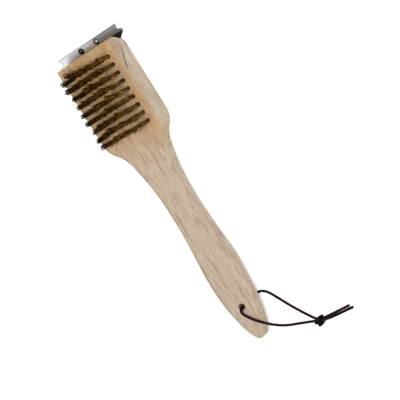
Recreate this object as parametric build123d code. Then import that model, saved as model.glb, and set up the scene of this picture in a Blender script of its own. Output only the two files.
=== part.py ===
from build123d import *
import math
import os

# Grill cleaning brush: a flat wooden back with nine rows of brass wire tufts,
# a riveted steel scraper on its head and a leather thong through its handle.
# Frame: +X runs from the handle to the scraper, +Z is the bristle side, and the
# brush lies on its back on the plane Z = 0. Sizes are in millimetres. Distances
# called "from tip" are measured along the brush from the end of the handle.

# wooden back
wood_length = 296.0
wood_thickness = 20.0
head_half_width = 33.0
head_start = 219.0
end_recess = 9.5
head_edge_radius = 1.8
handle_edge_radius = 5.0
edge_change_at = 190.0
tip_radius = 7.5
tip_angles = (20.0, 40.0, 60.0)
relief_height = 6.0
relief_end = 48.0
relief_run = 40.0
handle_lift = 0.1
hang_hole_at = 33.0
hang_hole_diameter = 6.0
hang_hole_chamfer = 0.8
# distance from the tip and half width, from the round tip to the head's straight sides
handle_outline = [
    (10.0, 9.7),
    (20.0, 12.8),
    (30.0, 15.0),
    (42.0, 16.8),
    (50.0, 17.4),
    (58.0, 17.7),
    (66.0, 17.6),
    (75.0, 17.1),
    (84.0, 16.3),
    (95.0, 15.3),
    (113.0, 14.0),
    (131.0, 13.5),
    (148.0, 13.8),
    (165.0, 15.2),
    (180.0, 17.8),
    (190.0, 20.1),
    (198.0, 22.8),
    (202.5, 25.6),
    (206.0, 28.7),
    (210.0, 31.3),
    (214.0, 32.6),
]

# bristle field
row_count = 9
tufts_per_row = 7
first_row_at = 217.5
row_pitch = 8.2
tuft_pitch = 6.8
hole_diameter = 4.0
hole_depth = 10.0
tuft_clearance = 0.04
tuft_height = 22.0
tuft_tip_diameter = 5.8
anchor_length = 5.0
anchor_height = 1.8
anchor_thickness = 0.5

# scraper
sheet = 1.2
blade_sheet = 1.0
fold_at = 296.9
fold_angle = 12.0
upright_half_width = 32.8
upright_height = 8.1
ear_half_width = 36.6
# half of the blade's outline, as (height above the fold, half width)
blade_outline = [
    (0.5, 37.0),
    (2.3, 36.9),
    (3.3, 33.3),
    (4.3, 33.1),
    (8.6, 34.5),
]
blade_height = blade_outline[-1][0]
tang_half_width = 20.0
tang_start = 262.0
shoulder_length = 13.0
tang_corner_radius = 6.0
rivet_spacing = 18.0
rivet_head_diameter = 6.0
rivet_head_height = 1.7
rivet_shank_diameter = 3.0
rivet_height = 4.3
screw_spacing = 22.0
screw_at = 269.5
screw_head_diameter = 6.8
screw_head_height = 2.4
screw_shank_diameter = 3.2
screw_length = 9.0
screw_point_length = 2.4
screw_slot_width = 0.9
screw_slot_depth = 0.8

# thong
thong_diameter = 2.5
knot_centre = (-13.0, -51.8, 4.4)
knot_size = (9.0, 10.8, 8.8)
knot_turn = 12.0

# Points of the thong's two halves, each from the middle of the hanging hole to its
# cut end, as (from tip, across, above the floor).
front_route = [
    (33.0, 0.0, 13.0),
    (33.0, 0.0, 22.7),
    (28.4, 1.9, 22.7),
    (22.4, -1.9, 22.8),
    (14.4, -9.2, 22.9),
    (6.0, -19.6, 22.9),
    (-0.6, -27.6, 18.2),
    (-5.8, -35.8, 9.6),
    (-9.6, -43.6, 5.6),
    (-12.0, -51.3, 6.2),
    (-12.4, -58.2, 3.6),
    (-13.05, -69.4, 1.35),
    (-13.3, -82.0, 1.3),
]
back_route = [
    (33.0, 0.0, 13.0),
    (33.0, 0.0, 1.9),
    (34.6, -6.4, 1.5),
    (36.0, -14.2, 1.3),
    (31.9, -20.6, 1.3),
    (22.4, -26.2, 1.3),
    (10.2, -33.1, 1.3),
    (-0.8, -40.4, 1.3),
    (-8.8, -46.2, 1.5),
    (-13.9, -52.4, 2.2),
    (-15.3, -60.4, 1.35),
    (-15.85, -72.4, 1.3),
    (-16.2, -84.4, 1.3),
]

blade_tip = fold_at + blade_height * math.cos(math.radians(fold_angle))
middle = blade_tip / 2


def placed(shape):
    """The shape moved from the tip's frame to the row frame, whose origin is mid-length."""
    return Pos(-middle, 0, 0) * shape


def handle_stations():
    """Pairs of distance from the tip and half width, round the tip and on to the head."""
    turns = [math.radians(angle) for angle in tip_angles]
    tip = [(tip_radius * (1 - math.cos(turn)), tip_radius * math.sin(turn)) for turn in turns]
    return [*tip, *handle_outline, (head_start, head_half_width)]


def underside(x):
    """The height of the handle's underside, which falls smoothly from the relief to the floor."""
    along = min(1.0, max(0.0, (x - relief_end) / relief_run))
    low = relief_height * (1 + math.cos(math.pi * along)) / 2
    return low if x == head_start else max(low, handle_lift)


def edge_radius(x, half_width):
    """The radius of the long edges: large on the handle, small on the head."""
    along = min(1.0, max(0.0, (x - edge_change_at) / (head_start - edge_change_at)))
    radius = handle_edge_radius + along * (head_edge_radius - handle_edge_radius)
    return min(radius, 0.92 * half_width)


def wood_section(x, half_width):
    """The board's rounded section at a distance from the tip."""
    low = underside(x)
    outline = RectangleRounded(2 * half_width, wood_thickness - low, edge_radius(x, half_width))
    plane = Plane(origin=(x, 0, (wood_thickness + low) / 2), x_dir=(0, 1, 0), z_dir=(1, 0, 0))
    return plane * outline


def rake_cut():
    """The waste past the head's raked and slightly hollow end."""
    top = wood_thickness
    foot = (wood_length - end_recess, 0)
    corner = (wood_length, top)
    rake = ThreePointArc(foot, (wood_length - end_recess * 0.46, top * 0.4), corner)
    past = wood_length + 5
    rest = Polyline(corner, (wood_length, top + 5), (past, top + 5), (past, -5), (foot[0], -5), foot)
    face = make_face(Plane.XZ * Wire([rake.edge(), *rest.edges()]))
    return extrude(face, head_half_width + 2, both=True)


def tuft_places():
    """The centres of the tufts, one list for each row, starting at the handle side."""
    first = -tuft_pitch * (tufts_per_row - 1) / 2
    rows = []
    for row in range(row_count):
        x = first_row_at + row * row_pitch
        rows.append([(x, first + i * tuft_pitch) for i in range(tufts_per_row)])
    return rows


def tuft_hole(x, y):
    """A blind tuft hole, with the cut that its anchor makes in the wood at the bottom."""
    hole = Cylinder(hole_diameter / 2, 2 * hole_depth)
    return Pos(x, y, wood_thickness) * hole + anchor_at(x, y)


def tang_cut():
    """The shallow rebate in the back that takes the bracket's tang."""
    return Pos(0, 0, -1) * extrude(tang_outline(), sheet + 1)


def anchor_at(x, y):
    """A flat strip of anchor wire, on edge across the bottom of a tuft hole."""
    bottom = wood_thickness - hole_depth
    standing = (Align.CENTER, Align.CENTER, Align.MIN)
    return Pos(x, y, bottom) * Box(anchor_thickness, anchor_length, anchor_height, align=standing)


def tang_outline():
    """The bracket's flat outline: a rounded tang that widens to the ears at the fold."""
    corner = tang_corner_radius
    points = [
        (tang_start, 0),
        (tang_start, tang_half_width - corner),
        (tang_start + corner, tang_half_width),
        (fold_at - shoulder_length, tang_half_width),
        (fold_at - 0.8, ear_half_width),
        (fold_at, ear_half_width),
    ]
    first = Line(points[0], points[1])
    bend = ThreePointArc(
        points[1],
        (tang_start + corner * (1 - math.sqrt(0.5)), tang_half_width - corner * (1 - math.sqrt(0.5))),
        points[2],
    )
    rest = Polyline(*points[2:], (fold_at, 0))
    half = [first, bend, rest]
    edges = [edge for line in half for edge in line.edges()]
    edges += [edge for line in half for edge in mirror(line, about=Plane.XZ).edges()]
    keep = [edge for edge in edges if not on_axis(edge)]
    return make_face(Wire(keep))


def on_axis(edge):
    """Whether both ends of an edge lie on the brush's middle line."""
    return all(abs(point.Y) < 1e-6 for point in (edge @ 0, edge @ 1))


def at_fold(shape):
    """The shape turned by the fold's angle and moved to the fold line."""
    return Pos(fold_at, 0, 0) * Rot(0, -fold_angle, 0) * shape


def rivet_places():
    """Where the rivets stand on the strip above the fold."""
    return [(rivet_height, side * rivet_spacing / 2) for side in (-1, 1)]


def screw_places():
    """Where the countersunk screws go through the tang."""
    return [(screw_at, side * screw_spacing / 2) for side in (-1, 1)]


def screw_shape():
    """A countersunk wood screw, head down at Z = 0 and pointing up."""
    shank = screw_shank_diameter / 2
    head = screw_head_diameter / 2
    straight = screw_length - screw_point_length
    cone = Cone(head, shank, screw_head_height, align=(Align.CENTER, Align.CENTER, Align.MIN))
    body = Cylinder(shank, straight, align=(Align.CENTER, Align.CENTER, Align.MIN))
    point = Cone(shank, 0.3, screw_point_length, align=(Align.CENTER, Align.CENTER, Align.MIN))
    return cone + body + Pos(0, 0, straight) * point


def wooden_back():
    """The board with its rounded edges, tuft holes, hanging hole, rebate and screw pilots."""
    handle = loft([wood_section(x, half_width) for x, half_width in handle_stations()])
    head = extrude(wood_section(head_start, head_half_width), wood_length - head_start)
    board = handle + head - rake_cut()
    board -= [tuft_hole(x, y) for row in tuft_places() for x, y in row]
    board -= tang_cut()
    board -= [Pos(x, y, 0) * screw_shape() for x, y in screw_places()]
    board -= Pos(hang_hole_at, 0, 0) * Cylinder(hang_hole_diameter / 2, 3 * wood_thickness)
    deep = 2 * hang_hole_chamfer
    rim = hang_hole_diameter / 2 + deep
    mouth = Cone(hang_hole_diameter / 2, rim, deep)
    board -= Pos(hang_hole_at, 0, wood_thickness) * mouth
    board -= Pos(hang_hole_at, 0, relief_height) * Rot(180, 0, 0) * mouth
    return board


def tuft_shape():
    """A tuft: a plug of wires in its hole that flares towards the tips."""
    root = hole_diameter / 2 - tuft_clearance
    plug = Cylinder(root, hole_depth, align=(Align.CENTER, Align.CENTER, Align.MIN))
    flare = Cone(root, tuft_tip_diameter / 2, tuft_height, align=(Align.CENTER, Align.CENTER, Align.MIN))
    return plug + Pos(0, 0, hole_depth) * flare


def tuft_row(row):
    """The tufts of one row, each astride its anchor."""
    bottom = wood_thickness - hole_depth
    solids = []
    for x, y in row:
        solids.append((Pos(x, y, bottom) * tuft_shape() - anchor_at(x, y)).solid())
    return Compound(children=[placed(solid) for solid in solids])


def anchor_row(row):
    """The anchors of one row."""
    return Compound(children=[placed(anchor_at(x, y)) for x, y in row])


def scraper_bracket():
    """The folded bracket: its tang lies flush in the back, its upright carries the blade."""
    corner = (Align.MIN, Align.CENTER, Align.MIN)
    upright = at_fold(Box(upright_height, 2 * upright_half_width, sheet, align=corner))
    tang = extrude(tang_outline(), sheet)
    bracket = tang + upright
    for u, y in rivet_places():
        bracket -= at_fold(Pos(u, y, 0) * Cylinder(rivet_shank_diameter / 2, 4 * sheet))
    for x, y in screw_places():
        bracket -= Pos(x, y, 0) * screw_shape()
    return bracket


def scraper_blade():
    """The notched blade on the front of the bracket's upright."""
    other_half = [(height, -width) for height, width in reversed(blade_outline)]
    outline = Polyline(*blade_outline, *other_half, close=True)
    blade = Pos(0, 0, sheet) * extrude(make_face(outline), blade_sheet)
    for u, y in rivet_places():
        blade -= Pos(u, y, 0) * Cylinder(rivet_shank_diameter / 2, 6 * sheet)
    return at_fold(blade)


def rivets():
    """Two domed rivets through the blade and the upright, flush behind."""
    pieces = []
    reach = rivet_head_diameter / 2
    dome_radius = (reach**2 + rivet_head_height**2) / (2 * rivet_head_height)
    stack = sheet + blade_sheet
    for u, y in rivet_places():
        ball = Pos(0, 0, rivet_head_height - dome_radius) * Sphere(dome_radius)
        dome = ball & Cylinder(reach, rivet_head_height, align=(Align.CENTER, Align.CENTER, Align.MIN))
        shank = Cylinder(rivet_shank_diameter / 2, stack, align=(Align.CENTER, Align.CENTER, Align.MAX))
        pieces.append(placed(at_fold(Pos(u, y, stack) * (dome + shank))))
    return Compound(children=pieces)


def bracket_screws():
    """Two slotted countersunk screws that hold the tang to the back."""
    pieces = []
    for x, y in screw_places():
        slot = Box(screw_head_diameter + 1, screw_slot_width, 2 * screw_slot_depth)
        pieces.append(placed(Pos(x, y, 0) * (screw_shape() - slot)))
    return Compound(children=pieces)


def arc_radii(points):
    """For each inner point, the radius whose tangents take 0.45 of the shorter run beside it."""
    radii = []
    for before, here, after in zip(points, points[1:], points[2:]):
        run_in = Vector(*here) - Vector(*before)
        run_out = Vector(*after) - Vector(*here)
        turn = math.radians(run_in.get_angle(run_out))
        radii.append(0.45 * min(run_in.length, run_out.length) / math.tan(turn / 2))
    return radii


def thong_half(name, points):
    """A plain tube along straight runs joined by tangent arcs."""
    radii = arc_radii(points)
    path = FilletPolyline(*points, radius=radii)
    section = Plane(origin=points[0], z_dir=path % 0) * Circle(thong_diameter / 2)
    tube = sweep(section, path=path)
    ideal = math.pi * thong_diameter**2 / 4 * path.length
    print(name, "length", round(path.length, 1), "volume ratio", round(tube.volume / ideal, 4))
    print(name, "radii", [round(r, 1) for r in radii])
    return tube


def thong_knot():
    """The overhand knot, as one rounded lump."""
    ball = Sphere(0.5)
    lump = scale(ball, by=knot_size)
    return Pos(*knot_centre) * Rot(0, 0, knot_turn) * lump


os.makedirs("parts", exist_ok=True)
nodes = {
    "wooden_back": placed(wooden_back()),
    "scraper_bracket": placed(scraper_bracket()),
    "scraper_blade": placed(scraper_blade()),
    "scraper_rivets": rivets(),
    "bracket_screws": bracket_screws(),
    "thong_front_half": placed(thong_half("front", front_route)),
    "thong_back_half": placed(thong_half("back", back_route)),
    "thong_knot": placed(thong_knot()),
}
for number, row in enumerate(tuft_places(), start=1):
    nodes[f"bristle_row_{number}"] = tuft_row(row)
    nodes[f"anchor_row_{number}"] = anchor_row(row)
for name, shape in nodes.items():
    export_step(shape, f"parts/{name}.step")
print("middle", round(middle, 3))
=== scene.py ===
import math
import bpy
import numpy as np
from mathutils import Matrix, Vector


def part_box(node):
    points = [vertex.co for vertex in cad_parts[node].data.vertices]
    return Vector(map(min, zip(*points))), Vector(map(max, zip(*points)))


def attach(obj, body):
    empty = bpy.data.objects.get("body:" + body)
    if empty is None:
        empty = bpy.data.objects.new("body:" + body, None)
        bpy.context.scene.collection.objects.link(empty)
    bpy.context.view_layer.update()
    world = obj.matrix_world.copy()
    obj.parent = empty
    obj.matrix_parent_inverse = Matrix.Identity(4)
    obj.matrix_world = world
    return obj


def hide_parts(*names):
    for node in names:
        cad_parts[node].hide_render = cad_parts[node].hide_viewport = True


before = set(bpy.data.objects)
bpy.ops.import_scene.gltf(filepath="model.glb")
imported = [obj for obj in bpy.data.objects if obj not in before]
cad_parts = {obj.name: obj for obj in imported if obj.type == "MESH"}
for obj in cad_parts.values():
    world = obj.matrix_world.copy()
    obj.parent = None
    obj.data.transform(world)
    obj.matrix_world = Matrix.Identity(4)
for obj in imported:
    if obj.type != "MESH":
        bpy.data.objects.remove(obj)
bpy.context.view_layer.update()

# Grill brush: CAD frame with wire tufts, thong and finishes made here. All lengths in metres.
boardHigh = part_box("wooden_back")[1]
boardLength = 0.296  # wooden back, tip to head end
tipX = boardHigh[0] - boardLength  # the handle's tip in the row frame
faceZ = boardHigh[2]  # bristle face


def fromTip(point):
    # A point given as (from the handle's tip, across, up), moved to the row frame.
    return (point[0] + tipX, point[1], point[2])


cameraValues = {
    "aim": (0.1333, -0.0166, 0.010),  # from the tip, across, up
    "sideTilt": math.radians(28.0),  # how far round to the right side
    "endTilt": math.radians(3.0),  # how far round to the scraper end
    "roll": math.radians(32.08),  # the brush leans this much left of upright
    "distance": 1.6,
    "frameWidth": 0.354,  # metres across the frame at the aim point
    "sensor": 36.0,
}


def makeCamera(values):
    side, end = values["sideTilt"], values["endTilt"]
    toCamera = Vector((math.sin(end), -math.sin(side) * math.cos(end), math.cos(side) * math.cos(end)))
    along = (Vector((1, 0, 0)) - toCamera * toCamera.x).normalized()
    across = along.cross(toCamera)
    # the picture's up and right are along and across turned by the roll
    up = along * math.cos(values["roll"]) + across * math.sin(values["roll"])
    right = up.cross(toCamera)
    data = bpy.data.cameras.new("camera")
    data.sensor_width = values["sensor"]
    data.lens = values["sensor"] * values["distance"] / values["frameWidth"]
    data.clip_end = 20
    camera = bpy.data.objects.new("camera", data)
    place = Vector(fromTip(values["aim"])) + toCamera * values["distance"]
    turn = Matrix((right, up, toCamera)).transposed().to_4x4()
    camera.matrix_world = Matrix.Translation(place) @ turn
    bpy.context.collection.objects.link(camera)
    bpy.context.scene.camera = camera


makeCamera(cameraValues)
print("camera placed")


def newMaterial(name):
    material = bpy.data.materials.new(name)
    material.use_nodes = True
    nodes = material.node_tree.nodes
    return material, nodes, material.node_tree.links, nodes["Principled BSDF"]


def addNode(nodes, links, kind, settings=None, **inputs):
    # A node with its properties and inputs set. An input is named, or counted as i0, i1 and so on, and
    # a socket given as its value is linked.
    node = nodes.new(kind)
    for name, value in (settings or {}).items():
        setattr(node, name, value)
    for name, value in inputs.items():
        key = int(name[1:]) if name[0] == "i" and name[1:].isdigit() else name.replace("_", " ")
        if isinstance(value, bpy.types.NodeSocket):
            links.new(value, node.inputs[key])
        else:
            node.inputs[key].default_value = value
    return node


def colourRamp(nodes, links, factor, stops):
    # stops: (position, (r, g, b)) in rising order
    node = nodes.new("ShaderNodeValToRGB")
    links.new(factor, node.inputs[0])
    elements = node.color_ramp.elements
    while len(elements) < len(stops):
        elements.new(0.5)
    for element, (position, colour) in zip(elements, stops):
        element.position = position
        element.color = (*colour, 1)
    return node.outputs[0]


def objectPlace(nodes, links, output="Object"):
    # The x, y and z sockets of the point being shaded, or of its normal.
    vector = nodes.new("ShaderNodeTexCoord").outputs[output]
    return addNode(nodes, links, "ShaderNodeSeparateXYZ", Vector=vector).outputs


def stretched(nodes, links, scale):
    # Object coordinates scaled differently along each axis, for grain and brush marks.
    place = nodes.new("ShaderNodeTexCoord").outputs["Object"]
    return addNode(nodes, links, "ShaderNodeMapping", Vector=place, Scale=scale).outputs[0]


def noise(nodes, links, scale, detail=4.0, distortion=0.0, roughness=0.55):
    vector = stretched(nodes, links, scale)
    return addNode(nodes, links, "ShaderNodeTexNoise", Vector=vector, Scale=1.0, Detail=detail,
                   Distortion=distortion, Roughness=roughness).outputs[0]


def mixColour(nodes, links, factor, first, second, blend="MIX"):
    node = nodes.new("ShaderNodeMix")
    node.data_type = "RGBA"
    node.blend_type = blend
    for index, value in ((0, factor), (6, first), (7, second)):
        if isinstance(value, bpy.types.NodeSocket):
            links.new(value, node.inputs[index])
        else:
            node.inputs[index].default_value = value
    return node.outputs[2]


def mapRange(nodes, links, value, low, high, toLow=0.0, toHigh=1.0):
    # A smooth step from toLow to toHigh while the value goes from low to high.
    return addNode(nodes, links, "ShaderNodeMapRange", {"interpolation_type": "SMOOTHSTEP"},
                   i0=value, i1=low, i2=high, i3=toLow, i4=toHigh).outputs[0]


def mathNode(nodes, links, operation, first, second=0.0):
    return addNode(nodes, links, "ShaderNodeMath", {"operation": operation}, i0=first, i1=second).outputs[0]


def product(nodes, links, first, second):
    return mathNode(nodes, links, "MULTIPLY", first, second)


def shaded(nodes, links, colour, shade):
    # The colour multiplied by a grey shade.
    grey = addNode(nodes, links, "ShaderNodeCombineColor", Red=shade, Green=shade, Blue=shade).outputs[0]
    return mixColour(nodes, links, 1.0, colour, grey, "MULTIPLY")


def addBump(nodes, links, shader, height, distance, strength=1.0, after=None):
    inputs = {"Height": height, "Distance": distance, "Strength": strength}
    if after is not None:
        inputs["Normal"] = after
    bump = addNode(nodes, links, "ShaderNodeBump", **inputs)
    links.new(bump.outputs[0], shader.inputs["Normal"])
    return bump.outputs[0]


def meshPiece(name, points, faces, material, smooth=True):
    # A mesh object from an array of points and lists of their indices round each face.
    mesh = bpy.data.meshes.new(name)
    mesh.from_pydata(points.tolist(), [], faces)
    mesh.polygons.foreach_set("use_smooth", np.full(len(mesh.polygons), smooth))
    mesh.materials.append(material)
    mesh.validate()
    piece = bpy.data.objects.new(name, mesh)
    bpy.context.collection.objects.link(piece)
    return piece


def splineLine(route):
    # The points of the smooth line that a route's spline gives, read from a bare curve.
    data = bpy.data.curves.new("line", "CURVE")
    fillSpline(data, route)
    data.resolution_u = 16
    thing = bpy.data.objects.new("line", data)
    mesh = bpy.data.meshes.new_from_object(thing)
    line = np.array([v.co for v in mesh.vertices])
    bpy.data.objects.remove(thing)
    bpy.data.meshes.remove(mesh)
    bpy.data.curves.remove(data)
    return line


def fillSpline(data, route):
    # A quadratic spline steered by the route's points, from the first to the last.
    data.dimensions = "3D"
    spline = data.splines.new("NURBS")
    spline.points.add(len(route) - 1)
    spline.points.foreach_set("co", np.c_[np.array(route), np.ones(len(route))].ravel())
    spline.order_u = 3
    spline.use_endpoint_u = True


thongValues = {
    "diameter": 0.0025,
    "colour": (0.0022, 0.0009, 0.0012),
    "rubbedColour": (0.034, 0.0030, 0.0068),
    "knotCentre": (-0.0130, -0.0518, 0.0044),
    "knotReach": (0.0031, 0.0040, 0.0030),  # across, along the strands, up
    "knotTurn": math.radians(12),
    "knotStrand": 0.00128,
    "knotRings": 120,
    "knotSides": 12,
    "wearScale": 130,
    "creaseScale": 1400,
    "creaseDepth": 0.00012,
}

frontRoute = [
    (0.0330, 0.0, 0.0130),
    (0.0330, 0.0, 0.0227),
    (0.0284, 0.0019, 0.0227),
    (0.0224, -0.0019, 0.0228),
    (0.0144, -0.0092, 0.0229),
    (0.0060, -0.0196, 0.0229),
    (-0.0006, -0.0276, 0.0182),
    (-0.0058, -0.0358, 0.0096),
    (-0.0096, -0.0436, 0.0056),
    (-0.0120, -0.0513, 0.0062),
    (-0.0124, -0.0582, 0.0036),
    (-0.01305, -0.0694, 0.00135),
    (-0.0133, -0.0820, 0.0013),
]
backRoute = [
    (0.0330, 0.0, 0.0130),
    (0.0330, 0.0, 0.0019),
    (0.0346, -0.0064, 0.0015),
    (0.0360, -0.0142, 0.0013),
    (0.0319, -0.0206, 0.0013),
    (0.0224, -0.0262, 0.0013),
    (0.0102, -0.0331, 0.0013),
    (-0.0008, -0.0404, 0.0013),
    (-0.0088, -0.0462, 0.0015),
    (-0.0139, -0.0524, 0.0022),
    (-0.0153, -0.0604, 0.00135),
    (-0.01585, -0.0724, 0.0013),
    (-0.0162, -0.0844, 0.0013),
]


def thongLeather(values):
    material, nodes, links, shader = newMaterial("waxed_leather")
    wear = noise(nodes, links, (values["wearScale"],) * 3, detail=6)
    colour = colourRamp(nodes, links, wear, [(0.46, values["colour"]), (0.60, values["rubbedColour"])])
    links.new(colour, shader.inputs["Base Color"])
    links.new(mapRange(nodes, links, wear, 0.3, 0.7, 0.45, 0.70), shader.inputs["Roughness"])
    shader.inputs["Specular IOR Level"].default_value = 0.08
    grid = stretched(nodes, links, (values["creaseScale"],) * 3)
    creases = addNode(nodes, links, "ShaderNodeTexVoronoi", Vector=grid, Scale=1.0).outputs[0]
    addBump(nodes, links, shader, creases, values["creaseDepth"], 0.6)
    return material


def makeThongHalf(name, node, route, material, values):
    data = bpy.data.curves.new(name, "CURVE")
    points = [fromTip(point) for point in route]
    fillSpline(data, points)
    data.resolution_u = 14
    data.bevel_depth = values["diameter"] / 2
    data.bevel_resolution = 5
    data.use_fill_caps = True
    data.materials.append(material)
    piece = bpy.data.objects.new(name, data)
    bpy.context.collection.objects.link(piece)
    line = splineLine(points)
    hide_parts(node)
    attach(piece, "hang_loop")
    return piece


def tubeGrid(line, radius, sides):
    # A round profile carried along a closed line: ring points are the line plus radius times cos and sin
    # of the angle along two directions square to the line.
    ahead = np.roll(line, -1, axis=0) - np.roll(line, 1, axis=0)
    ahead /= np.linalg.norm(ahead, axis=1, keepdims=True)
    first = np.cross(ahead, line - line.mean(axis=0) + 1e-9)
    first /= np.linalg.norm(first, axis=1, keepdims=True)
    second = np.cross(ahead, first)
    angle = np.linspace(0, 2 * np.pi, sides, endpoint=False)[None, :, None]
    ring = np.cos(angle) * first[:, None] + np.sin(angle) * second[:, None]
    return line[:, None] + radius * ring


def gridFaces(rows, columns, closedRows=False):
    # Quads of a grid whose columns wrap round; the rows wrap too when closed.
    r = np.arange(rows if closedRows else rows - 1)[:, None]
    c = np.arange(columns)[None, :]
    nextR, nextC = (r + 1) % rows, (c + 1) % columns
    corners = [r * columns + c, r * columns + nextC, nextR * columns + nextC, nextR * columns + c]
    grids = [np.broadcast_to(corner, (len(r), columns)) for corner in corners]
    return np.stack(grids, axis=-1).reshape(-1, 4)


def makeKnot(values, material):
    # Overhand knot: a three-lobed loop, (sin t + 2 sin 2t, -sin 3t, cos t - 2 cos 2t), stretched to the
    # knot's reach and carried round the two strands. 2.9 and 3 are the loop's own reach across and up.
    t = np.linspace(0, 2 * np.pi, values["knotRings"], endpoint=False)
    across, along, up = values["knotReach"]
    lobes = np.c_[(np.sin(t) + 2 * np.sin(2 * t)) / 2.9 * across, -np.sin(3 * t) * along,
                  (np.cos(t) - 2 * np.cos(2 * t)) / 3.0 * up]
    turn = values["knotTurn"]
    cosTurn, sinTurn = math.cos(turn), math.sin(turn)
    line = np.c_[lobes[:, 0] * cosTurn - lobes[:, 1] * sinTurn,
                 lobes[:, 0] * sinTurn + lobes[:, 1] * cosTurn, lobes[:, 2]]
    line += np.array(fromTip(values["knotCentre"]))
    rings = tubeGrid(line, values["knotStrand"], values["knotSides"])
    faces = gridFaces(len(line), values["knotSides"], closedRows=True)
    piece = meshPiece("knot", rings.reshape(-1, 3), faces.tolist(), material)
    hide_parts("thong_knot")
    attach(piece, "hang_loop")
    return piece


leather = thongLeather(thongValues)
knot = makeKnot(thongValues, leather)
makeThongHalf("thong_front", "thong_front_half", frontRoute, leather, thongValues)
makeThongHalf("thong_back", "thong_back_half", backRoute, leather, thongValues)
print("thong made")


tuftValues = {
    "rows": 9,
    "perRow": 7,
    "firstRow": 0.2175,  # from the tip
    "rowPitch": 0.0082,
    "tuftPitch": 0.0068,
    "rootRadius": 0.00165,
    "wires": 72,
    "wireRadius": 0.00017,
    "rings": 10,
    "sunk": 0.0015,  # how far the wires start below the face
    "height": 0.0218,
    "heightSpread": 0.0010,
    "bow": 0.0017,  # how far the tips of a row's middle tufts lean to the scraper
    "spread": (0.0006, 0.0012),  # outward lean at the tips, along and across the brush
    "strayShare": 0.12,
    "straySplay": 0.0026,
    "tuftLean": (0.00070, 0.00070),
    "tuftHeight": 0.0006,  # how much the tufts differ in height
    # rows with bent tufts: how far the tips lean along and across the brush, from the right-hand tuft
    "bentRows": {
        0: [(-0.0006, -0.0004), (-0.0014, 0), (-0.0012, 0), (-0.0008, 0), (-0.0010, 0), (-0.0004, 0),
            (-0.0008, 0.0006)],
        7: [(0, 0), (0, 0), (0, 0), (0, 0), (0, 0.0004), (0, 0.0008), (-0.0002, 0.0016)],
        8: [(0.0010, -0.0004), (0.0012, -0.0004), (0.0008, -0.0003), (0.0010, 0), (0.0022, 0.0008),
            (0.0052, 0.0016), (-0.0004, 0.0030)],
    },
    "bentShare": (0.55, 1.15),  # how much of its tuft's bend a wire takes
    "looseLean": 0.00035,
    "leanPower": 1.6,  # how late along a wire its lean grows
    "crimp": 0.00022,
    "crimpLength": 0.0052,
    "crimpPower": 0.3,
    "tipTaper": 0.7,
    "overHeight": 0.0008,  # the most that a wire stands over the usual height
    "seed": 41,
}


def wireRow(row, values, random):
    # Every wire is a small square tube along the line root + lean * s^leanPower + crimp * s^crimpPower *
    # sin(2 pi z / crimpLength + phase), with s from 0 at the root to 1 at the tip.
    tufts, wires, rings = values["perRow"], values["wires"], values["rings"]
    shape = (tufts, wires)
    angle = random.uniform(0, 2 * np.pi, shape)
    radius = values["rootRadius"] * np.sqrt(random.uniform(0.02, 1, shape))
    unit = np.stack([np.cos(angle), np.sin(angle)], axis=-1)
    centreX = values["firstRow"] + row * values["rowPitch"] + tipX
    centreY = (np.arange(tufts) - (tufts - 1) / 2) * values["tuftPitch"]
    root = unit * radius[..., None] + np.stack([np.full(tufts, centreX), centreY], axis=-1)[:, None]
    outward = unit * (radius / values["rootRadius"])[..., None] * np.array(values["spread"])
    loose = random.normal(0, values["looseLean"], (*shape, 2))
    stray = (random.uniform(0, 1, shape) < values["strayShare"])[..., None]
    splay = random.normal(0, values["straySplay"], (*shape, 2))
    lean = outward + loose + np.where(stray, splay, 0)
    lean += random.normal(0, values["tuftLean"], (tufts, 1, 2))
    lean[..., 0] += values["bow"] * (1 - np.linspace(-1, 1, tufts) ** 2)[:, None]
    if row in values["bentRows"]:
        push = np.array(values["bentRows"][row])[:, None, :]
        lean += push * random.uniform(*values["bentShare"], (*shape, 1))
    length = values["height"] + values["sunk"] + random.normal(0, values["heightSpread"], shape)
    length += random.normal(0, values["tuftHeight"], (tufts, 1))
    length = np.minimum(length, values["height"] + values["sunk"] + values["overHeight"])
    s = np.linspace(0, 1, rings)
    z = faceZ - values["sunk"] + length[..., None] * s
    phase = random.uniform(0, 2 * np.pi, shape)[..., None]
    wave = values["crimp"] * np.sin(2 * np.pi * (z - faceZ) / values["crimpLength"] + phase)
    side = random.uniform(0, 2 * np.pi, shape)[..., None]
    leaning, waving = s ** values["leanPower"], s ** values["crimpPower"]
    x = root[..., :1] + lean[..., :1] * leaning + wave * np.cos(side) * waving
    y = root[..., 1:] + lean[..., 1:] * leaning + wave * np.sin(side) * waving
    line = np.stack([x, y, z], axis=-1)
    corner = side[..., None] + np.arange(4) * np.pi / 2
    square = np.stack([np.cos(corner), np.sin(corner), 0 * corner], axis=-1)
    radii = np.full(rings, values["wireRadius"])
    radii[-1] *= values["tipTaper"]
    points = line[..., None, :] + radii[:, None, None] * square
    return points.reshape(-1, 3), tufts * wires


def wireFaces(count, rings):
    # The quads of one wire and its two end caps, repeated for every wire.
    side = gridFaces(rings, 4)
    caps = np.array([[3, 2, 1, 0], [rings * 4 - 4, rings * 4 - 3, rings * 4 - 2, rings * 4 - 1]])
    one = np.concatenate([side, caps])
    return (one[None] + np.arange(count)[:, None, None] * rings * 4).reshape(-1, 4)


wireColours = {
    "gap": (0.014, 0.006, 0.002),
    "dull": (0.15, 0.060, 0.007),
    "clean": (0.84, 0.45, 0.050),
    # the colour of the painted shade on the tufts' left-hand side
    "paintedShade": (0.016, 0.008, 0.003),
    "rootShade": 0.62,  # at the roots, against 1 at the tips
    "shadeStartSide": -0.006,  # across the brush, where the painted shade on the left-hand side begins
    "shadeFullSide": 0.032,
}


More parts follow.
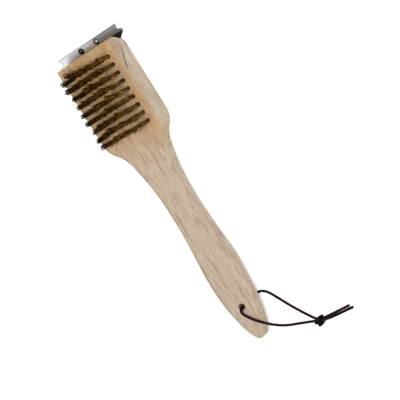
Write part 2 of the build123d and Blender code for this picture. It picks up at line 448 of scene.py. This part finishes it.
def brassWire(values):
    # Brass that is golden on the right-hand side, with painted shade darkening the left-hand side and the
    # roots.
    material, nodes, links, shader = newMaterial("brass_wire")
    tone = noise(nodes, links, (900, 900, 60), detail=3)
    place = objectPlace(nodes, links)
    colour = colourRamp(nodes, links, tone, [
        (0.34, values["gap"]), (0.50, values["dull"]), (0.70, values["clean"])])
    patch = noise(nodes, links, (240, 150, 30), detail=3)
    # painted shade: the left-hand side of the tufts darkens in uneven patches
    side = mapRange(nodes, links, place[1], values["shadeStartSide"], values["shadeFullSide"], 0.0, 0.92)
    sideShade = addNode(nodes, links, "ShaderNodeMath", {"operation": "MULTIPLY", "use_clamp": True}, i0=side,
                   i1=mapRange(nodes, links, patch, 0.3, 0.7, 0.7, 1.25)).outputs[0]
    colour = mixColour(nodes, links, sideShade, colour, (*values["paintedShade"], 1))
    # painted shade: the wires are darker towards their roots, down among the tufts
    shade = mapRange(nodes, links, place[2], faceZ + 0.004, faceZ + 0.021, values["rootShade"], 1.0)
    links.new(shaded(nodes, links, colour, shade), shader.inputs["Base Color"])
    shader.inputs["Metallic"].default_value = 0.55
    shader.inputs["Specular IOR Level"].default_value = 0.15
    links.new(mapRange(nodes, links, tone, 0.3, 0.7, 0.60, 0.36), shader.inputs["Roughness"])
    return material


def makeTufts(values, material):
    random = np.random.default_rng(values["seed"])
    for row in range(values["rows"]):
        points, count = wireRow(row, values, random)
        faces = wireFaces(count, values["rings"])
        piece = meshPiece(f"wires_{row + 1}", points, faces.tolist(), material, smooth=False)
        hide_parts(f"bristle_row_{row + 1}")
        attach(piece, "brush")


makeTufts(tuftValues, brassWire(wireColours))
print("wire tufts made")


woodValues = {
    "pale": (0.53, 0.435, 0.320),
    "mid": (0.40, 0.315, 0.225),
    "line": (0.17, 0.084, 0.048),
    "pink": (0.34, 0.18, 0.13),
    "tan": (0.52, 0.29, 0.095),
    "ringColour": (0.14, 0.040, 0.016),
    # a dark growth ring cuts the head's right-hand edge: from the tip, across to the side, slope, half width
    "ring": (0.2648, 0.0222, 0.285, 0.00045),
    "ringEnds": (0.262, 0.268, 0.280, 0.287),  # where it starts, is full, fades and ends
    "ringTilt": (0.883, 0.469),  # the layer's normal, across to the right and down
    "ringWaver": 0.0006,
    "figureScale": (9, 170, 170),
    "fibreScale": (70, 900, 900),
    "poreScale": (130, 1500, 1500),
    "blushScale": (24, 330, 330),
    "patchScale": (30, 60, 60),
    "endGrainScale": (40, 90, 420),
    "paintedCastRun": 0.065,  # along the brush, from bare wood to the full painted reflection and shade of the brass
    "paintedCastEdge": (-0.0325, -0.0245),  # across the brush, where the painted reflection and shade end on the right-hand side
    "endGrain": (0.30, 0.17, 0.075),
    "headStart": 0.170,  # from the tip, where the painted reflection and shade round the bristles start
}


def growthRing(nodes, links, place, values):
    # A slanted layer: its distance right and down from mid board, -y * rightward - (z - mid) * downward,
    # grows with x along the ring's slope.
    start, reach, slope, halfWidth = values["ring"]
    rightward, downward = values["ringTilt"]
    away = downward * faceZ / 2 + slope * (start + tipX) - reach
    for axis, weight in ((1, -rightward), (2, -downward), (0, -slope)):
        away = mathNode(nodes, links, "ADD", product(nodes, links, place[axis], weight), away)
    waver = mapRange(nodes, links, noise(nodes, links, (140, 140, 140), detail=2), 0.3, 0.7,
                     -values["ringWaver"], values["ringWaver"])
    away = mathNode(nodes, links, "ABSOLUTE", mathNode(nodes, links, "ADD", away, waver))
    low, full, fullEnd, high = (end + tipX for end in values["ringEnds"])
    line = mapRange(nodes, links, away, halfWidth * 0.4, halfWidth * 1.6, 0.85, 0.0)
    line = product(nodes, links, line, mapRange(nodes, links, place[0], low, full))
    return product(nodes, links, line, mapRange(nodes, links, place[0], fullEnd, high, 1.0, 0.0))


def sandedWood(values):
    material, nodes, links, shader = newMaterial("sanded_wood")
    place = objectPlace(nodes, links)
    # broad figure, then fibres, then short dark pores, all drawn out along the brush
    figure = noise(nodes, links, values["figureScale"], detail=6, distortion=0.5)
    fibre = noise(nodes, links, values["fibreScale"], detail=4, roughness=0.6)
    pores = noise(nodes, links, values["poreScale"], detail=3)
    base = colourRamp(nodes, links, figure, [(0.30, values["mid"]), (0.47, values["pale"]),
                                             (0.60, values["pale"]), (0.74, values["mid"])])
    # painted reflection and shade of the brass: the head's face turns tan round the bristles, in uneven
    # patches
    start = values["headStart"] + tipX
    paintedCast = mapRange(nodes, links, place[0], start, start + values["paintedCastRun"])
    patch = noise(nodes, links, values["patchScale"], detail=4)
    paintedCast = product(nodes, links, paintedCast, mapRange(nodes, links, patch, 0.30, 0.66, 0.42, 0.95))
    # the painted reflection and shade stop short of the right-hand edge
    paintedCast = product(nodes, links, paintedCast, mapRange(nodes, links, place[1], *values["paintedCastEdge"]))
    base = mixColour(nodes, links, paintedCast, base, (*values["tan"], 1))
    blush = noise(nodes, links, values["blushScale"], detail=4)
    blush = mapRange(nodes, links, blush, 0.52, 0.72, 0.0, 0.62)
    base = mixColour(nodes, links, blush, base, (*values["pink"], 1))
    streak = mapRange(nodes, links, fibre, 0.42, 0.66, 0.0, 0.40)
    base = mixColour(nodes, links, streak, base, (*values["line"], 1))
    pore = mapRange(nodes, links, pores, 0.58, 0.70)
    base = mixColour(nodes, links, product(nodes, links, pore, 0.60), base, (*values["line"], 1))
    ring = growthRing(nodes, links, place, values)
    base = mixColour(nodes, links, ring, base, (*values["ringColour"], 1))
    # the sawn end shows darker end grain
    facing = objectPlace(nodes, links, "Normal")[0]
    sawn = mapRange(nodes, links, facing, 0.55, 0.85, 0.0, 0.7)
    endGrain = colourRamp(nodes, links, noise(nodes, links, values["endGrainScale"], detail=5), [
        (0.35, values["line"]), (0.65, values["endGrain"])])
    base = mixColour(nodes, links, sawn, base, endGrain)
    links.new(base, shader.inputs["Base Color"])
    links.new(mapRange(nodes, links, fibre, 0.3, 0.7, 0.5, 0.68), shader.inputs["Roughness"])
    shader.inputs["Specular IOR Level"].default_value = 0.3
    first = addBump(nodes, links, shader, fibre, 0.00025, 0.5)
    addBump(nodes, links, shader, pore, -0.00015, 0.5, after=first)
    return material


def finish(node, material):
    # Gives a CAD node its material; its mesh stays as it is.
    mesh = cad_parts[node].data
    mesh.materials.clear()
    mesh.materials.append(material)


# each steel: its dark and light colour, roughness and the scale of its brush marks
steelValues = {
    "blade_steel": {"dark": (0.60, 0.62, 0.645), "light": (0.92, 0.94, 0.96), "roughness": 0.36,
                    "marks": (1500, 30, 1500), "paintedShadeAcross": (-0.012, -0.004, 0.50), "paintedEdgeShade": 0.0006},
    # bracket_steel: near black as painted shade, where the bracket lies in the shade beyond the wood
    "bracket_steel": {"dark": (0.015, 0.014, 0.014), "light": (0.06, 0.055, 0.055), "roughness": 0.45,
                      "marks": (1200, 40, 1200)},
    # rivet_steel: its colours are painted darker than the blade's, as painted shade and dark reflection
    "rivet_steel": {"dark": (0.10, 0.105, 0.112), "light": (0.34, 0.35, 0.37), "roughness": 0.42,
                    "marks": (700, 700, 700), "paintedShadeAcross": (0.004, -0.004, 0.18)},
    "screw_steel": {"dark": (0.42, 0.41, 0.36), "light": (0.66, 0.64, 0.56), "roughness": 0.3,
                    "marks": (900, 900, 200)},
    "anchor_steel": {"dark": (0.40, 0.40, 0.40), "light": (0.60, 0.60, 0.60), "roughness": 0.35,
                     "marks": (900, 200, 900)},
}


def brushedSteel(name, values):
    # tarnish: a painted reflection and shade across the brush, given as where the steel is darkest, where it
    # is fully lit, and the darkest shade
    # paintedEdgeShade: the width of the painted shade along the steel's scraper end
    material, nodes, links, shader = newMaterial(name)
    marks = noise(nodes, links, values["marks"], detail=5)
    cloud = noise(nodes, links, (90, 60, 90), detail=3)
    colour = colourRamp(nodes, links, marks, [(0.3, values["dark"]), (0.7, values["light"])])
    shade = mapRange(nodes, links, cloud, 0.3, 0.7, 0.82, 1.0)
    place = objectPlace(nodes, links)
    # painted reflection and shade: the steel darkens across the brush towards one side
    if "paintedShadeAcross" in values:
        darkAt, litAt, darkest = values["paintedShadeAcross"]
        shade = product(nodes, links, shade, mapRange(nodes, links, place[1], darkAt, litAt, darkest, 1.0))
    # painted shade: a dark band along the blade's scraper end
    if "paintedEdgeShade" in values:
        width = values["paintedEdgeShade"]
        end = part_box("scraper_blade")[1][0]
        edge = mapRange(nodes, links, place[0], end - 2 * width, end - width, 1.0, 0.45)
        shade = product(nodes, links, shade, edge)
    links.new(shaded(nodes, links, colour, shade), shader.inputs["Base Color"])
    shader.inputs["Metallic"].default_value = 1.0
    roughness = values["roughness"]
    links.new(mapRange(nodes, links, marks, 0.3, 0.7, roughness - 0.06, roughness + 0.08),
              shader.inputs["Roughness"])
    addBump(nodes, links, shader, marks, 0.00004, 0.5)
    return material


finish("wooden_back", sandedWood(woodValues))
steels = {name: brushedSteel(name, values) for name, values in steelValues.items()}
finish("scraper_blade", steels["blade_steel"])
finish("scraper_bracket", steels["bracket_steel"])
finish("scraper_rivets", steels["rivet_steel"])
finish("bracket_screws", steels["screw_steel"])
for number in range(1, tuftValues["rows"] + 1):
    finish(f"anchor_row_{number}", steels["anchor_steel"])
print("finishes set")

stageValues = {
    "floor": (0.90, 0.90, 0.90),
    "floorGlow": 0.42,  # keeps the floor white under a light that suits the brush
    "floorDrop": 0.0003,  # how far the floor lies under the brush
    "world": 0.34,
    "key": {"place": (0.10, -0.35, 1.25), "aim": (0.06, 0, 0.01), "size": 0.45, "power": 13.5},
    "back": {"place": (-0.35, 0.65, 1.05), "aim": (0.02, 0, 0.01), "size": 0.7, "power": 1.6},
    "floorSize": 6.0,
}


def areaLight(name, values):
    data = bpy.data.lights.new(name, "AREA")
    data.shape = "DISK"
    data.size = values["size"]
    data.energy = values["power"]
    light = bpy.data.objects.new(name, data)
    light.location = values["place"]
    toAim = Vector(values["aim"]) - Vector(values["place"])
    light.rotation_euler = toAim.to_track_quat("-Z", "Y").to_euler()
    bpy.context.collection.objects.link(light)


def makeStage(values):
    half = values["floorSize"]  # half the floor's side
    material, nodes, links, shader = newMaterial("pale_floor")
    shader.inputs["Base Color"].default_value = (*values["floor"], 1)
    shader.inputs["Roughness"].default_value = 0.9
    shader.inputs["Specular IOR Level"].default_value = 0.1
    shader.inputs["Emission Color"].default_value = (1, 1, 1, 1)
    shader.inputs["Emission Strength"].default_value = values["floorGlow"]
    low = -values["floorDrop"]
    corners = np.array([(-half, -half, low), (half, -half, low), (half, half, low), (-half, half, low)])
    floor = meshPiece("floor", corners, [[0, 1, 2, 3]], material, smooth=False)
    world = bpy.data.worlds.new("studio")
    bpy.context.scene.world = world
    world.use_nodes = True
    background = world.node_tree.nodes["Background"]
    background.inputs["Color"].default_value = (1, 1, 1, 1)
    background.inputs["Strength"].default_value = values["world"]
    areaLight("key_light", values["key"])
    areaLight("back_light", values["back"])


makeStage(stageValues)
bpy.context.scene.view_settings.view_transform = "Standard"
print("stage set")
